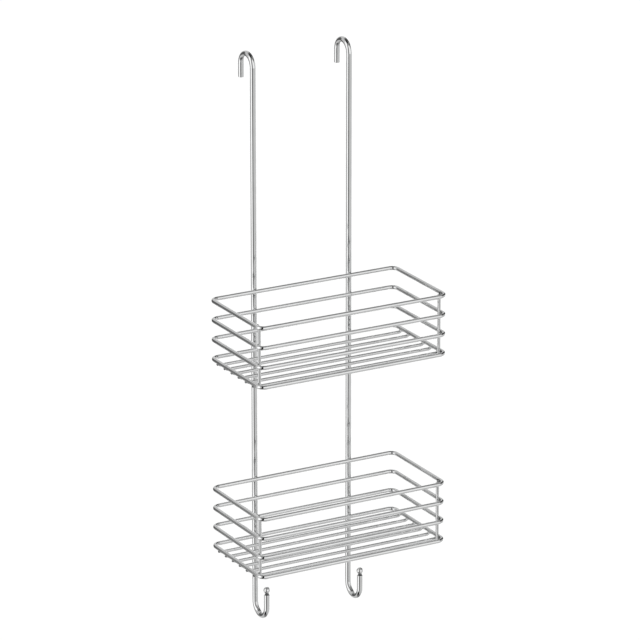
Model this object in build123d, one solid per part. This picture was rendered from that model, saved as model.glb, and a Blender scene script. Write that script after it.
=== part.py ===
from build123d import *
import os

# A shower caddy that hooks over the top edge of a glass screen, all in welded round wire.
# Units are millimetres. +Z is up, -Y is the front and +X is the right-hand side.
# The origin is midway between the two top hooks, on the glass edge that they hang from.

# Wires
ROD_DIAMETER = 7.0
RING_WIRE = 5.0
LIGHT_WIRE = 4.0  # the uprights and the floor wires
WELD_SET_IN = 0.6  # how far one wire is pressed into the next by its weld

# Hanger rods: seen from the side, a bend over the glass, a long shank and a J hook in front
ROD_SPACING = 129.0
BEND_RADIUS = 14.5  # centre line of the top bends and of the lower J bends
TOP_LEG = 17.0  # straight leg behind the glass
LOWER_BEND_DROP = 678.5  # from the glass edge down to the centre of the J bends

# Balls on the tips of the J hooks
BALL_DIAMETER = 8.2
BALL_RISE = 22.5  # from the centre of the J bend up to the centre of the ball
NECK_DIAMETER = 4.8
NECK_BELOW_BALL = 5.9  # from the centre of the ball down to the end of the rod
SPIGOT_DIAMETER = 3.0
SPIGOT_LENGTH = 5.5

# Baskets: two the same, one below the other
FLOOR_WIRES = 6
FLOOR_PITCH = 17.5
BASKET_LENGTH = 250.0  # left to right, ring centre line to ring centre line
BASKET_WIDTH = FLOOR_PITCH * (FLOOR_WIRES + 1)  # back to front
CORNER_RADIUS = 8.5  # centre line of the rings' corners
RING_PITCH = 24.25
RING_NAMES = ["rim_ring", "second_ring", "third_ring", "base_ring"]
UPPER_RIM_DROP = 283.5  # from the glass edge down to the rim ring of the upper basket
BASKET_SPACING = 237.0
UPRIGHT_SETBACK = 11.0  # from the front of the ring to the upright, centre to centre
UPRIGHT_HEAD = 1.1  # from the middle of the rim ring down to the upright's top end
UPRIGHT_FOOT = 1.5  # from the middle of the base ring down to its bottom end
FLOOR_DROP = 4.0  # from the base ring down to the floor wires, centre to centre
FLOOR_END_INSET = 1.0  # from the side of the ring in to the turned-up end
FLOOR_END_RADIUS = 3.2

# Places worked out from the sizes above
HOOK_CENTRE_Z = ROD_DIAMETER / 2 - BEND_RADIUS
ROD_Y = -BEND_RADIUS
J_TIP_Y = ROD_Y - 2 * BEND_RADIUS
BALL_Z = BALL_RISE - LOWER_BEND_DROP
ROD_END_Z = BALL_Z - NECK_BELOW_BALL
RING_BACK_Y = ROD_Y - (ROD_DIAMETER + RING_WIRE) / 2 + WELD_SET_IN
RING_FRONT_Y = RING_BACK_Y - BASKET_WIDTH
SIDE_X = BASKET_LENGTH / 2
UPRIGHT_X = SIDE_X - (RING_WIRE + LIGHT_WIRE) / 2 + WELD_SET_IN
RIM_Z = {"upper": -UPPER_RIM_DROP, "lower": -UPPER_RIM_DROP - BASKET_SPACING}
SIDES = {"left": -1, "right": 1}
ON_BASE = (Align.CENTER, Align.CENTER, Align.MIN)


def wire_along(path, diameter):
    """A round wire whose centre line is the path."""
    section = Plane(origin=path @ 0, z_dir=path % 0) * Circle(diameter / 2)
    return sweep(section, path=path)


def half_turn(x, start_y, end_y, z, rise):
    """A half circle in a side plane that peaks, or dips, by rise between two points at height z."""
    return ThreePointArc((x, start_y, z), (x, (start_y + end_y) / 2, z + rise), (x, end_y, z))


def hanger_rod(x):
    """One rod: leg behind the glass, bend over it, shank, J bend forward, and the spigot for the ball."""
    leg_y = BEND_RADIUS
    bend_z = -LOWER_BEND_DROP
    path = Wire(
        [
            Line((x, leg_y, HOOK_CENTRE_Z - TOP_LEG), (x, leg_y, HOOK_CENTRE_Z)),
            half_turn(x, leg_y, ROD_Y, HOOK_CENTRE_Z, BEND_RADIUS),
            Line((x, ROD_Y, HOOK_CENTRE_Z), (x, ROD_Y, bend_z)),
            half_turn(x, ROD_Y, J_TIP_Y, bend_z, -BEND_RADIUS),
            Line((x, J_TIP_Y, bend_z), (x, J_TIP_Y, ROD_END_Z)),
        ]
    )
    spigot = Pos(x, J_TIP_Y, ROD_END_Z) * Cylinder(SPIGOT_DIAMETER / 2, SPIGOT_LENGTH, align=ON_BASE)
    return wire_along(path, ROD_DIAMETER) + spigot


def hook_ball(x):
    """A ball with a short neck, bored blind to sit on the spigot of its rod."""
    neck = Pos(0, 0, -NECK_BELOW_BALL) * Cylinder(NECK_DIAMETER / 2, NECK_BELOW_BALL, align=ON_BASE)
    bore = Pos(0, 0, -NECK_BELOW_BALL) * Cylinder(SPIGOT_DIAMETER / 2, SPIGOT_LENGTH, align=ON_BASE)
    return Pos(x, J_TIP_Y, BALL_Z) * (Sphere(BALL_DIAMETER / 2) + neck - bore)


def basket_ring(z, rods):
    """A wire rectangle with bent corners, its back notched where it is welded across the rods."""
    centre = Pos(0, (RING_BACK_Y + RING_FRONT_Y) / 2, z)
    outline = RectangleRounded(BASKET_LENGTH, BASKET_WIDTH, CORNER_RADIUS).wire()
    ring = wire_along(centre * outline, RING_WIRE)
    for rod in rods:
        ring -= rod
    return ring


def upright(side, rim_z, rings):
    """A straight wire that ties the short sides of all four rings together, inside, near the front."""
    top_z = rim_z - UPRIGHT_HEAD
    bottom_z = rim_z - RING_PITCH * (len(RING_NAMES) - 1) - UPRIGHT_FOOT
    foot = Pos(side * UPRIGHT_X, RING_FRONT_Y + UPRIGHT_SETBACK, bottom_z)
    wire = foot * Cylinder(LIGHT_WIRE / 2, top_z - bottom_z, align=ON_BASE)
    for ring in rings:
        wire -= ring
    return wire


def floor_wire(y, base_z, base_ring):
    """A wire from left to right below the base ring, both ends turned up and welded under its sides."""
    end_x = SIDE_X - FLOOR_END_INSET
    floor_z = base_z - FLOOR_DROP
    run_x = end_x - FLOOR_END_RADIUS
    tip_z = floor_z + FLOOR_END_RADIUS
    path = Wire(
        [
            TangentArc((-end_x, y, tip_z), (-run_x, y, floor_z), tangent=(0, 0, -1)),
            Line((-run_x, y, floor_z), (run_x, y, floor_z)),
            TangentArc((run_x, y, floor_z), (end_x, y, tip_z), tangent=(1, 0, 0)),
        ]
    )
    return wire_along(path, LIGHT_WIRE) - base_ring


def basket(name, rim_z, rods):
    """All the wires of one basket, by node name."""
    wires = {}
    ring_heights = [rim_z - step * RING_PITCH for step in range(len(RING_NAMES))]
    rings = [basket_ring(z, rods) for z in ring_heights]
    for ring_name, ring in zip(RING_NAMES, rings):
        wires[f"{name}_basket_{ring_name}"] = ring
    for side, sign in SIDES.items():
        wires[f"{name}_basket_{side}_upright"] = upright(sign, rim_z, rings)
    for number in range(1, FLOOR_WIRES + 1):
        y = RING_BACK_Y - number * FLOOR_PITCH
        wires[f"{name}_basket_floor_wire_{number}"] = floor_wire(y, ring_heights[-1], rings[-1])
    return wires


def shower_caddy():
    """Every piece of the caddy, by node name."""
    pieces = {}
    for side, sign in SIDES.items():
        pieces[f"{side}_hanger_rod"] = hanger_rod(sign * ROD_SPACING / 2)
        pieces[f"{side}_hook_ball"] = hook_ball(sign * ROD_SPACING / 2)
    rods = [pieces[f"{side}_hanger_rod"] for side in SIDES]
    for name, rim_z in RIM_Z.items():
        pieces.update(basket(name, rim_z, rods))
    return pieces


os.makedirs("parts", exist_ok=True)
for node, piece in shower_caddy().items():
    export_step(piece, f"parts/{node}.step")
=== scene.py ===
"""Looks of a chrome wire shower caddy: smooth wires, welds, balls, plating and a white studio.

Every length is in metres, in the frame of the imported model, and places come from its nodes.
"""

import math
from collections import namedtuple

import bpy
from mathutils import Matrix, Vector, noise


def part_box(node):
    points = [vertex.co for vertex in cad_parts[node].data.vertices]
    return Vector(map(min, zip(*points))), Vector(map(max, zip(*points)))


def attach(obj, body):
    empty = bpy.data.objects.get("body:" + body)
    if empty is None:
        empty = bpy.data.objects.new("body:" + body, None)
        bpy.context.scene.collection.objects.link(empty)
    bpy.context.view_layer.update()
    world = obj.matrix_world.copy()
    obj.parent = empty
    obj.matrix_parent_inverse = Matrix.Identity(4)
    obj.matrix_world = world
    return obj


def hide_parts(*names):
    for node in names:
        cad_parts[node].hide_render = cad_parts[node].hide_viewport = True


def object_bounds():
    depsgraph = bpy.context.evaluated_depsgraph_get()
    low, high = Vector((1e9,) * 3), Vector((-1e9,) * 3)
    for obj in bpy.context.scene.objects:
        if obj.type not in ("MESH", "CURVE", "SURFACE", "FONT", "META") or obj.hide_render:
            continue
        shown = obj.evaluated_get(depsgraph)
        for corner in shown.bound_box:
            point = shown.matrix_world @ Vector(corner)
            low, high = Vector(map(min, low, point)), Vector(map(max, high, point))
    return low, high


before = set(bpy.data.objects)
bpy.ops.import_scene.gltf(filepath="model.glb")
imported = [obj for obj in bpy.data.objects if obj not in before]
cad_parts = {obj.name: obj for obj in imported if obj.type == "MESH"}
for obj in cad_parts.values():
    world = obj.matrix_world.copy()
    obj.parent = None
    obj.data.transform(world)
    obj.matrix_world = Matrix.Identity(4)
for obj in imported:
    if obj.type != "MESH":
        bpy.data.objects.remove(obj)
cad_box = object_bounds()

MM = 0.001
X_AXIS = Vector((1, 0, 0))
Y_AXIS = Vector((0, 1, 0))
Z_AXIS = Vector((0, 0, 1))

# Wires
ROUND_STEPS = 32  # points round a wire
BEND_STEP = math.radians(5)  # turn between two stations of a bend
RUN_STEP = 20 * MM  # longest gap between two stations of a straight run
RING_CORNER = 8.5 * MM  # centre line radius of a ring's corners
FLOOR_END_BEND = 3.2 * MM  # centre line radius where a floor wire turns up
FLOOR_END_X = 124 * MM  # centre line of a turned-up end of a floor wire
TOP_LEG = 17 * MM  # straight part behind the glass
CUT_EDGE = 0.5 * MM  # rounding of a sheared wire end
EDGE_STEPS = 4  # points along that rounding

# Balls on the lower hooks
BALL_RADIUS = 4.1 * MM
NECK_RADIUS = 2.4 * MM
NECK_FILLET = 0.5 * MM  # radius of the flare where the neck runs into the ball
BALL_STEPS = 48  # points round a ball, a neck or a weld bead
BALL_ROWS = 40
FILLET_ROWS = 6

# Weld beads: half their sizes across, along and through the joint
ROD_BEAD = (2.5 * MM, 2.3 * MM, 1.1 * MM)
UPRIGHT_BEAD = (2.9 * MM, 2.4 * MM, 1.4 * MM)
FLOOR_BEAD = (2.0 * MM, 1.2 * MM, 1.2 * MM)
FLOOR_WELD_LEAN = math.radians(20)  # outwards from straight below the base ring's centre line
FLOOR_WELD_REACH = 3.2 * MM  # from the base ring's centre line to the middle of the bead
BEAD_ROWS = 14
BEAD_UNEVENNESS = 0.12  # how much the surface swells and sinks, as a part of the size
BEAD_GRAIN = 0.9 * MM  # size of one swelling on a bead of 1 mm radius; it stretches with the bead

# Plating textures: how many waves per metre, and how many levels of finer detail
Grain = namedtuple("Grain", "scale detail")
TONE_GRAIN = Grain(scale=60, detail=3)
HAZE_GRAIN = Grain(scale=220, detail=5)
WAVE_GRAIN = Grain(scale=45, detail=2)
LINE_GRAIN = Grain(scale=2600, detail=2)  # fine lines that the drawing die leaves along a wire
NOISE_RANGE = (0.3, 0.7)  # where most of the noise lies
DULL_TO_BRIGHT = (0.3, 0.6)  # noise at the dull and at the bright end of the change of tone
HAZE_SPREAD = (0.7, 1.3)  # factors on the roughness
LINE_SPREAD = (0.8, 1.2)
LINE_DEPTH = 2.5e-7  # metres
LINE_STRETCH = 0.02  # how much slower the lines change along the wire than round it

# Plates: the two ends of the change of tone, the roughness, the depth of the waves in metres, and whether
# the piece is drawn wire
Plate = namedtuple("Plate", "name bright dull roughness wave_depth drawn")
BRIGHT = (0.85, 0.855, 0.855)
DULL = (0.80, 0.805, 0.805)
SHADED_WIRE_BRIGHT = (0.80, 0.805, 0.805)  # painted shade: a darker copy of the chrome for the uprights and floor wires
SHADED_WIRE_DULL = (0.74, 0.745, 0.745)
RECESS_SHADE_BRIGHT = (0.27, 0.275, 0.275)  # a dull plate on welds and necks, its dark tone painted shade of their recesses
RECESS_SHADE_DULL = (0.15, 0.155, 0.155)
PLATES = {
    "rod_chrome": Plate("rod_plating", BRIGHT, DULL, roughness=0.045, wave_depth=3e-6, drawn=True),
    "ring_chrome": Plate("ring_plating", BRIGHT, DULL, roughness=0.05, wave_depth=3e-6, drawn=True),
    # the darker tone of this plate is painted shade on the uprights and floor wires
    "light_wire_chrome": Plate(
        "shaded_wire_plating", SHADED_WIRE_BRIGHT, SHADED_WIRE_DULL, roughness=0.05, wave_depth=3e-6, drawn=True
    ),
    "ball_chrome": Plate("ball_plating", BRIGHT, DULL, roughness=0.04, wave_depth=0.75e-6, drawn=False),
    # the dark tone of this plate is painted shade of the recesses at welds and necks
    "dull_painted_shade": Plate(
        "dull_painted_shade_plating", RECESS_SHADE_BRIGHT, RECESS_SHADE_DULL, roughness=0.3, wave_depth=9e-6, drawn=False
    ),
}

# Studio, as the chrome sees it: a grey room with bright panels and dark cards. Angles are in degrees.
# Bearing 0 is the front, 90 the right-hand side and 180 straight behind; heights are above the horizon.
Card = namedtuple("Card", "bearing half_width softness bottom top tone")
ROOM_TONE = 0.6
CARDS = (
    Card(bearing=0, half_width=180, softness=1, bottom=60, top=90, tone=0.25),  # ceiling
    Card(bearing=0, half_width=180, softness=1, bottom=-90, top=-50, tone=0.55),  # ground
    Card(bearing=125, half_width=30, softness=10, bottom=-50, top=5, tone=1.2),  # bright panel, behind right
    Card(bearing=-95, half_width=15, softness=5, bottom=-40, top=45, tone=1.3),  # bright panel, left
    Card(bearing=0, half_width=30, softness=10, bottom=-5, top=45, tone=1.0),  # bright panel, front
    Card(bearing=-45, half_width=10, softness=5, bottom=-35, top=50, tone=0.0),  # dark card, front left
    Card(bearing=-80, half_width=30, softness=10, bottom=-65, top=-40, tone=0.0),  # dark card, low left
    Card(bearing=-160, half_width=10, softness=10, bottom=-25, top=20, tone=0.1),  # dark card, behind left
    Card(bearing=175, half_width=15, softness=5, bottom=-30, top=-10, tone=0.2),  # dark card, low behind
    Card(bearing=115, half_width=20, softness=10, bottom=20, top=50, tone=0.0),  # dark card, high right
    Card(bearing=65, half_width=15, softness=5, bottom=25, top=45, tone=0.0),  # dark card, high front right
    Card(bearing=0, half_width=180, softness=1, bottom=75, top=90, tone=0.0),  # dark card, overhead
    Card(bearing=0, half_width=180, softness=1, bottom=-90, top=-80, tone=0.2),  # dark card, underneath
)
CARD_EDGE = 0.1  # softness of the cards' top and bottom edges, as a part of the sky's radius
OPEN_LIGHT = 1.1  # the white of the room for everything but the chrome
FLOOR_GAP = 0.35  # from the foot of the caddy down to the floor
FLOOR_SIZE = 40.0  # from the middle of the floor to its edge
FLOOR_COLOUR = (0.93, 0.93, 0.93, 1)
FLOOR_ROUGHNESS = 0.9

# Camera: angles in degrees, the lens in millimetres
CAMERA_AZIMUTH = -29.2
CAMERA_ELEVATION = 18.9
CAMERA_DISTANCE = 5.477
CAMERA_LENS = 260.7
CAMERA_AIM = (-0.0065, -0.0709, -0.3134)
CAMERA_REACH = 200  # how far it sees

# Words and numbers that the names of the nodes are made of
BASKETS = ("upper", "lower")
SIDES = ("left", "right")
RINGS = ("rim_ring", "second_ring", "third_ring", "base_ring")
FLOOR_WIRES = range(1, 7)


# Centre lines: lists of stations, each a place and a direction


def straight(start, end):
    """Stations of a straight run."""
    steps = max(1, math.ceil((end - start).length / RUN_STEP))
    way = (end - start).normalized()
    return [(start.lerp(end, step / steps), way) for step in range(steps + 1)]


def bend(start, way, centre, turn):
    """Stations of a circular bend that starts at a place, in a direction, round a centre."""
    axis = (start - centre).cross(way).normalized()
    steps = max(2, math.ceil(turn / BEND_STEP))
    stations = []
    for step in range(steps + 1):
        spin = Matrix.Rotation(turn * step / steps, 3, axis)
        stations.append((centre + spin @ (start - centre), spin @ way))
    return stations


def chain(*runs):
    """One list of stations from runs that meet end to end, each meeting place kept once."""
    stations = list(runs[0])
    for run in runs[1:]:
        stations += run[1:]
    return stations


# Meshes


def new_piece(name, verts, faces, material, drawn=(), flat_faces=()):
    """A smooth mesh object.

    drawn is each vertex's place on its wire, were the wire pulled straight and shrunk along its length.
    """
    mesh = bpy.data.meshes.new(name)
    mesh.from_pydata(verts, [], faces)
    mesh.validate()
    for number, face in enumerate(mesh.polygons):
        face.use_smooth = number not in flat_faces
    if drawn:
        layer = mesh.attributes.new("drawn_place", "FLOAT_VECTOR", "POINT")
        layer.data.foreach_set("vector", [value for place in drawn for value in place])
    mesh.materials.append(material)
    piece = bpy.data.objects.new(name, mesh)
    bpy.context.collection.objects.link(piece)
    return piece


def end_profile(radius):
    """(how far before the end, radius there) pairs of a sheared end with a rounded edge."""
    pairs = []
    for step in range(1, EDGE_STEPS + 1):
        angle = math.pi / 2 * step / EDGE_STEPS
        pairs.append((CUT_EDGE * (1 - math.sin(angle)), radius - CUT_EDGE * (1 - math.cos(angle))))
    return pairs


def tube(stations, side, radius, closed):
    """Vertices, faces and drawn places of a round wire. side is square to every station's direction."""
    rows = []
    if closed:
        rows = [(place, way, radius) for place, way in stations]
    else:
        first, first_way = stations[0]
        last, last_way = stations[-1]
        for back, ring_radius in reversed(end_profile(radius)):
            rows.append((first + first_way * back, first_way, ring_radius))
        rows.append((first + first_way * CUT_EDGE, first_way, radius))
        rows += [(place, way, radius) for place, way in stations[1:-1]]
        rows.append((last - last_way * CUT_EDGE, last_way, radius))
        for back, ring_radius in end_profile(radius):
            rows.append((last - last_way * back, last_way, ring_radius))
    verts, drawn, travelled = [], [], 0.0
    previous = rows[0][0]
    for place, way, ring_radius in rows:
        travelled += (place - previous).length
        previous = place
        other = way.cross(side)
        for step in range(ROUND_STEPS):
            angle = 2 * math.pi * step / ROUND_STEPS
            verts.append(place + (side * math.cos(angle) + other * math.sin(angle)) * ring_radius)
            drawn.append((radius * math.cos(angle), radius * math.sin(angle), travelled * LINE_STRETCH))
    faces = []
    row_pairs = len(rows) if closed else len(rows) - 1
    for row in range(row_pairs):
        low = row * ROUND_STEPS
        high = (row + 1) % len(rows) * ROUND_STEPS
        for step in range(ROUND_STEPS):
            following = (step + 1) % ROUND_STEPS
            faces.append((low + step, low + following, high + following, high + step))
    if not closed:
        top = (len(rows) - 1) * ROUND_STEPS
        faces.append(tuple(reversed(range(ROUND_STEPS))))
        faces.append(tuple(range(top, top + ROUND_STEPS)))
    return verts, faces, drawn


# Wires of the caddy, each sized and placed by its node's box


def join_caddy(piece, slot, *nodes):
    """The piece belongs to the caddy and stands for its CAD nodes; slot is not used."""
    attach(piece, "root")
    if nodes:
        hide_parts(*nodes)


def wire_piece(node, stations, side, radius, slot, closed=False):
    """A smooth wire that stands for its CAD node."""
    verts, faces, drawn = tube(stations, side, radius, closed)
    ends = () if closed else (len(faces) - 2, len(faces) - 1)
    piece = new_piece(f"{node}_wire", verts, faces, plating[slot], drawn, flat_faces=ends)
    join_caddy(piece, slot, node)


def hanger_rod(node, ball_node):
    """The rod, from its cut leg over the glass and down to the shoulder below its ball."""
    low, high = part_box(node)
    radius = (high.x - low.x) / 2
    x = (high.x + low.x) / 2
    bend_radius = (high.y - low.y - 2 * radius) / 4  # two half circles, front to back, side by side
    leg_y = high.y - radius
    shank_y = leg_y - 2 * bend_radius
    tip_y = shank_y - 2 * bend_radius
    top_z = high.z - radius - bend_radius
    bottom_z = low.z + radius + bend_radius
    shoulder_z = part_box(ball_node)[0].z
    top_centre = Vector((x, leg_y - bend_radius, top_z))
    bottom_centre = Vector((x, shank_y - bend_radius, bottom_z))
    stations = chain(
        straight(Vector((x, leg_y, top_z - TOP_LEG)), Vector((x, leg_y, top_z))),
        bend(Vector((x, leg_y, top_z)), Z_AXIS, top_centre, math.pi),
        straight(Vector((x, shank_y, top_z)), Vector((x, shank_y, bottom_z))),
        bend(Vector((x, shank_y, bottom_z)), -Z_AXIS, bottom_centre, math.pi),
        straight(Vector((x, tip_y, bottom_z)), Vector((x, tip_y, shoulder_z))),
    )
    wire_piece(node, stations, X_AXIS, radius, "rod_chrome")


def basket_ring(node):
    """A closed rectangle of wire with bent corners."""
    low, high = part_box(node)
    radius = (high.z - low.z) / 2
    z = (high.z + low.z) / 2
    half_length = (high.x - low.x) / 2 - radius - RING_CORNER
    half_width = (high.y - low.y) / 2 - radius - RING_CORNER
    middle = Vector(((high.x + low.x) / 2, (high.y + low.y) / 2, z))
    corner_centres = [
        middle + Vector((across * half_length, back * half_width, 0))
        for across, back in ((-1, 1), (-1, -1), (1, -1), (1, 1))
    ]
    outwards = [Y_AXIS, -X_AXIS, -Y_AXIS, X_AXIS]
    stations = []
    for number, centre in enumerate(corner_centres):
        start = centre + outwards[number] * RING_CORNER
        before = corner_centres[number - 1] + outwards[number] * RING_CORNER
        way = (start - before).normalized()
        stations += straight(before, start)[1:]
        stations += bend(start, way, centre, math.pi / 2)[1:]
    wire_piece(node, stations, Z_AXIS, radius, "ring_chrome", closed=True)


def upright(node):
    """A straight wire from the base ring up to the rim ring."""
    low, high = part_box(node)
    radius = (high.x - low.x) / 2
    foot = Vector(((high.x + low.x) / 2, (high.y + low.y) / 2, low.z))
    head = Vector((foot.x, foot.y, high.z))
    wire_piece(node, straight(foot, head), X_AXIS, radius, "light_wire_chrome")


def floor_wire(node):
    """A wire from left to right with both ends turned up."""
    low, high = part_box(node)
    radius = (high.y - low.y) / 2
    y = (high.y + low.y) / 2
    z = low.z + radius
    tip_z = z + FLOOR_END_BEND
    end_x = FLOOR_END_X
    run_x = end_x - FLOOR_END_BEND
    stations = chain(
        bend(Vector((-end_x, y, tip_z)), -Z_AXIS, Vector((-run_x, y, tip_z)), math.pi / 2),
        straight(Vector((-run_x, y, z)), Vector((run_x, y, z))),
        bend(Vector((run_x, y, z)), X_AXIS, Vector((run_x, y, tip_z)), math.pi / 2),
    )
    wire_piece(node, stations, Y_AXIS, radius, "light_wire_chrome")


# Balls and welds


def lathe(profile, centre):
    """Vertices and faces of a turned shape. profile is (radius, height) pairs between two poles."""
    low_pole, high_pole = profile[0], profile[-1]
    verts = [centre + Z_AXIS * low_pole[1]]
    for radius, height in profile[1:-1]:
        for step in range(BALL_STEPS):
            angle = 2 * math.pi * step / BALL_STEPS
            verts.append(centre + Vector((radius * math.cos(angle), radius * math.sin(angle), height)))
    verts.append(centre + Z_AXIS * high_pole[1])
    faces = []
    rows = len(profile) - 2
    for step in range(BALL_STEPS):
        following = (step + 1) % BALL_STEPS
        faces.append((0, 1 + following, 1 + step))
        for row in range(rows - 1):
            low = 1 + row * BALL_STEPS
            high = low + BALL_STEPS
            faces.append((low + step, low + following, high + following, high + step))
        top = 1 + (rows - 1) * BALL_STEPS
        faces.append((top + step, top + following, len(verts) - 1))
    return verts, faces


def arc_profile(centre_radius, centre_height, radius, start, end, steps):
    """(radius, height) pairs along an arc, angles counted from straight out towards straight up."""
    pairs = []
    for step in range(steps + 1):
        angle = start + (end - start) * step / steps
        pairs.append((centre_radius + radius * math.cos(angle), centre_height + radius * math.sin(angle)))
    return pairs


def hook_ball(node):
    """A ball on a dull neck, darkened with painted shade, that flares a little where it runs into the ball.
    """
    low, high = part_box(node)
    centre = Vector(((high.x + low.x) / 2, (high.y + low.y) / 2, high.z - BALL_RADIUS))
    reach = BALL_RADIUS + NECK_FILLET
    fillet_radius = NECK_RADIUS + NECK_FILLET
    fillet_height = -math.sqrt(reach**2 - fillet_radius**2)
    meeting_angle = math.atan2(-fillet_height, fillet_radius)
    ball = arc_profile(0, 0, BALL_RADIUS, -math.pi / 2, math.pi / 2, BALL_ROWS)
    flare_end = math.pi - meeting_angle
    fillet = arc_profile(fillet_radius, fillet_height, NECK_FILLET, math.pi, flare_end, FILLET_ROWS)
    foot = low.z - centre.z
    neck = [(0, foot), (NECK_RADIUS, foot)] + fillet + [(0, fillet[-1][1])]
    verts, faces = lathe(ball, centre)
    join_caddy(new_piece(f"{node}_turned", verts, faces, plating["ball_chrome"]), "ball_chrome", node)
    verts, faces = lathe(neck, centre)
    # the neck's dark plate is painted shade of the groove under the ball
    join_caddy(new_piece(f"{node}_neck", verts, faces, plating["dull_painted_shade"]), "ball_chrome")


def bead(place, normal, across, sizes):
    """Vertices and faces of one weld bead: a low lump squashed between two wires."""
    along = normal.cross(across)
    verts, faces = lathe(arc_profile(0, 0, 1, -math.pi / 2, math.pi / 2, BEAD_ROWS), Vector())
    lumpy = []
    for vert in verts:
        swell = 1 + BEAD_UNEVENNESS * noise.noise((place + vert * MM) / BEAD_GRAIN)
        offset = across * vert.x * sizes[0] + along * vert.y * sizes[1] + normal * vert.z * sizes[2]
        lumpy.append(place + offset * swell)
    return lumpy, faces


def weld_piece(name, beads):
    """All the weld beads of one kind on one basket, as one piece."""
    verts, faces = [], []
    for bead_verts, bead_faces in beads:
        start = len(verts)
        verts += bead_verts
        faces += [tuple(start + corner for corner in face) for face in bead_faces]
    # the beads' dark plate is painted shade between the welded wires
    piece = new_piece(name, verts, faces, plating["dull_painted_shade"])
    join_caddy(piece, "ring_chrome")


def middle_of(node):
    """The middle of a node's box."""
    low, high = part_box(node)
    return (low + high) / 2


def basket_welds(basket):
    """The welds of one basket: rings to rods, uprights to rings and floor wires to the base ring."""
    rod_beads, upright_beads, floor_beads = [], [], []
    for ring in RINGS:
        low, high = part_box(f"{basket}_basket_{ring}")
        wire = high.z - low.z
        z = (high.z + low.z) / 2
        for side in SIDES:
            rod_x = middle_of(f"{side}_hanger_rod").x
            rod_beads.append(bead(Vector((rod_x, high.y, z)), Y_AXIS, X_AXIS, ROD_BEAD))
            post = middle_of(f"{basket}_basket_{side}_upright")
            face_x = math.copysign(high.x - wire, post.x)  # the inner face of the ring's short side
            upright_beads.append(bead(Vector((face_x, post.y, z)), X_AXIS, Y_AXIS, UPRIGHT_BEAD))
    ring_low, ring_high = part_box(f"{basket}_basket_base_ring")
    ring_radius = (ring_high.z - ring_low.z) / 2
    for number in FLOOR_WIRES:
        y = middle_of(f"{basket}_basket_floor_wire_{number}").y
        for sign in (-1, 1):
            lean = Vector((sign * math.sin(FLOOR_WELD_LEAN), 0, -math.cos(FLOOR_WELD_LEAN)))
            ring_centre = Vector((sign * (ring_high.x - ring_radius), y, (ring_high.z + ring_low.z) / 2))
            floor_beads.append(bead(ring_centre + lean * FLOOR_WELD_REACH, lean, Y_AXIS, FLOOR_BEAD))
    weld_piece(f"{basket}_basket_rod_welds", rod_beads)
    weld_piece(f"{basket}_basket_upright_welds", upright_beads)
    weld_piece(f"{basket}_basket_floor_welds", floor_beads)


# Shader nodes


def math_node(nodes, links, operation, *values):
    """The result of a Math node. A value is a number or another node's output."""
    node = nodes.new("ShaderNodeMath")
    node.operation = operation
    for slot, value in enumerate(values):
        if isinstance(value, (int, float)):
            node.inputs[slot].default_value = value
        else:
            links.new(value, node.inputs[slot])
    return node.outputs[0]


def mix_node(nodes, links, factor, first, second):
    """A blend from the first number to the second."""
    node = nodes.new("ShaderNodeMix")
    node.data_type = "FLOAT"
    for slot, value in enumerate((factor, None, first, second)):
        if isinstance(value, (int, float)):
            node.inputs[slot].default_value = value
        elif value is not None:
            links.new(value, node.inputs[slot])
    return node.outputs[0]


def noise_node(nodes, links, place, grain):
    """Soft noise of a grain at a place."""
    node = nodes.new("ShaderNodeTexNoise")
    node.inputs["Scale"].default_value = grain.scale
    node.inputs["Detail"].default_value = grain.detail
    links.new(place, node.inputs["Vector"])
    return node.outputs["Fac"]


def spread_node(nodes, links, value, spread):
    """Noise spread over a range."""
    node = nodes.new("ShaderNodeMapRange")
    node.inputs["From Min"].default_value = NOISE_RANGE[0]
    node.inputs["From Max"].default_value = NOISE_RANGE[1]
    node.inputs["To Min"].default_value = spread[0]
    node.inputs["To Max"].default_value = spread[1]
    links.new(value, node.inputs["Value"])
    return node.outputs["Result"]


def bump_node(nodes, links, height, depth, under=None):
    """Relief of a depth in metres, laid over another relief if there is one."""
    node = nodes.new("ShaderNodeBump")
    node.inputs["Strength"].default_value = 1.0
    node.inputs["Distance"].default_value = depth
    links.new(height, node.inputs["Height"])
    if under:
        links.new(under, node.inputs["Normal"])
    return node.outputs["Normal"]


# Plating


def chrome_plate(plate):
    """Polished plate: a slight change of tone, hazy patches, soft waves, and fine lines on drawn wire."""
    material = bpy.data.materials.new(plate.name)
    material.use_nodes = True
    nodes = material.node_tree.nodes
    links = material.node_tree.links
    shader = nodes["Principled BSDF"]
    shader.inputs["Metallic"].default_value = 1.0
    place = nodes.new("ShaderNodeTexCoord").outputs["Object"]

    colours = nodes.new("ShaderNodeValToRGB")
    for stop, position, tone in zip(colours.color_ramp.elements, DULL_TO_BRIGHT, (plate.dull, plate.bright)):
        stop.position = position
        stop.color = (*tone, 1)
    links.new(noise_node(nodes, links, place, TONE_GRAIN), colours.inputs["Fac"])
    links.new(colours.outputs["Color"], shader.inputs["Base Color"])

    haze = spread_node(nodes, links, noise_node(nodes, links, place, HAZE_GRAIN), HAZE_SPREAD)
    relief = bump_node(nodes, links, noise_node(nodes, links, place, WAVE_GRAIN), plate.wave_depth)
    if plate.drawn:
        unrolled = nodes.new("ShaderNodeAttribute")
        unrolled.attribute_name = "drawn_place"
        lines = noise_node(nodes, links, unrolled.outputs["Vector"], LINE_GRAIN)
        haze = math_node(nodes, links, "MULTIPLY", haze, spread_node(nodes, links, lines, LINE_SPREAD))
        relief = bump_node(nodes, links, lines, LINE_DEPTH, relief)
    links.new(math_node(nodes, links, "MULTIPLY", haze, plate.roughness), shader.inputs["Roughness"])
    links.new(relief, shader.inputs["Normal"])
    return material


# Studio


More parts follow.
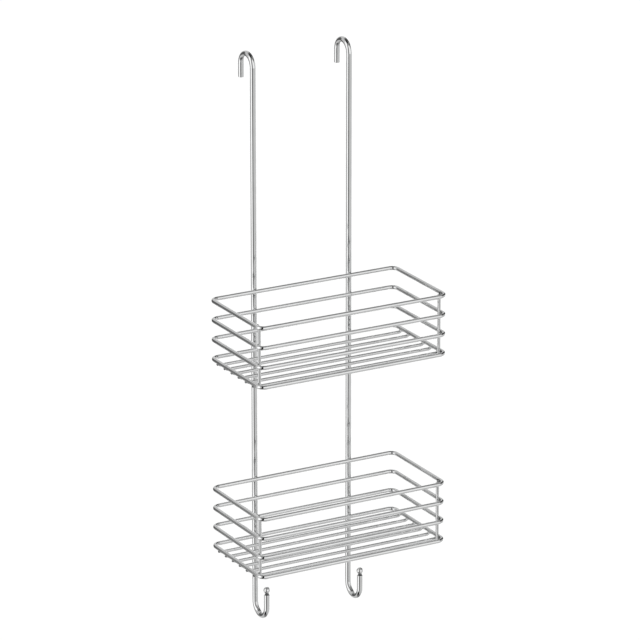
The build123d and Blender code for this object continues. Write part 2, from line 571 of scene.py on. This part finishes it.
def band(nodes, links, distance, half_width, softness):
    """1 where a distance is under half_width, falling smoothly to 0 over the softness."""
    node = nodes.new("ShaderNodeMapRange")
    node.interpolation_type = "SMOOTHSTEP"
    node.inputs["From Min"].default_value = half_width
    node.inputs["From Max"].default_value = half_width + softness
    node.inputs["To Min"].default_value = 1.0
    node.inputs["To Max"].default_value = 0.0
    links.new(distance, node.inputs["Value"])
    return node.outputs["Result"]


def card_cover(nodes, links, card, bearing, height):
    """How far a direction of the room is covered by a card, from 0 to 1."""
    turn = math_node(nodes, links, "SUBTRACT", bearing, math.radians(card.bearing))
    turn = math_node(nodes, links, "WRAP", turn, math.pi, -math.pi)
    turn = math_node(nodes, links, "ABSOLUTE", turn)
    across = band(nodes, links, turn, math.radians(card.half_width), math.radians(card.softness))
    top = math.sin(math.radians(card.top))
    bottom = math.sin(math.radians(card.bottom))
    rise = math_node(nodes, links, "SUBTRACT", height, (top + bottom) / 2)
    rise = math_node(nodes, links, "ABSOLUTE", rise)
    upright_cover = band(nodes, links, rise, (top - bottom) / 2, CARD_EDGE)
    return math_node(nodes, links, "MULTIPLY", across, upright_cover)


def studio_light():
    """White all round for the floor and the backdrop, and a room with panels and cards in the chrome."""
    world = bpy.data.worlds.new("studio")
    bpy.context.scene.world = world
    world.use_nodes = True
    nodes = world.node_tree.nodes
    links = world.node_tree.links
    nodes.clear()
    place = nodes.new("ShaderNodeTexCoord")
    split = nodes.new("ShaderNodeSeparateXYZ")
    links.new(place.outputs["Generated"], split.inputs[0])
    front = math_node(nodes, links, "MULTIPLY", split.outputs["Y"], -1.0)
    bearing = math_node(nodes, links, "ARCTAN2", split.outputs["X"], front)
    tone = ROOM_TONE
    for card in CARDS:
        cover = card_cover(nodes, links, card, bearing, split.outputs["Z"])
        tone = mix_node(nodes, links, cover, tone, card.tone)
    rays = nodes.new("ShaderNodeLightPath")
    background = nodes.new("ShaderNodeBackground")
    background.inputs["Color"].default_value = (1, 1, 1, 1)
    strength = mix_node(nodes, links, rays.outputs["Is Glossy Ray"], OPEN_LIGHT, tone)
    links.new(strength, background.inputs["Strength"])
    output = nodes.new("ShaderNodeOutputWorld")
    links.new(background.outputs[0], output.inputs["Surface"])


def studio_floor():
    """A wide pale floor well below the caddy, which hangs from its hooks."""
    height = cad_box[0].z - FLOOR_GAP
    corners = [(x * FLOOR_SIZE, y * FLOOR_SIZE, height) for x, y in ((-1, -1), (1, -1), (1, 1), (-1, 1))]
    material = bpy.data.materials.new("pale_floor")
    material.use_nodes = True
    shader = material.node_tree.nodes["Principled BSDF"]
    shader.inputs["Base Color"].default_value = FLOOR_COLOUR
    shader.inputs["Roughness"].default_value = FLOOR_ROUGHNESS
    shader.inputs["Specular IOR Level"].default_value = 0.0
    floor = new_piece("studio_floor", corners, [(0, 1, 2, 3)], material)
    floor.visible_glossy = False


def studio_camera():
    """A long lens from the front left and a little above."""
    camera = bpy.data.objects.new("camera", bpy.data.cameras.new("camera"))
    bpy.context.collection.objects.link(camera)
    bpy.context.scene.camera = camera
    turn = math.radians(CAMERA_AZIMUTH)
    rise = math.radians(CAMERA_ELEVATION)
    back = Vector((math.sin(turn) * math.cos(rise), -math.cos(turn) * math.cos(rise), math.sin(rise)))
    camera.location = Vector(CAMERA_AIM) + back * CAMERA_DISTANCE
    camera.rotation_mode = "QUATERNION"
    camera.rotation_quaternion = (-back).to_track_quat("-Z", "Y")
    camera.data.lens = CAMERA_LENS
    camera.data.clip_end = CAMERA_REACH


plating = {slot: chrome_plate(plate) for slot, plate in PLATES.items()}

for side in SIDES:
    hanger_rod(f"{side}_hanger_rod", f"{side}_hook_ball")
    hook_ball(f"{side}_hook_ball")
for basket in BASKETS:
    for ring in RINGS:
        basket_ring(f"{basket}_basket_{ring}")
    for side in SIDES:
        upright(f"{basket}_basket_{side}_upright")
    for number in FLOOR_WIRES:
        floor_wire(f"{basket}_basket_floor_wire_{number}")
    basket_welds(basket)

studio_light()
studio_floor()
studio_camera()
bpy.context.scene.view_settings.view_transform = "Standard"
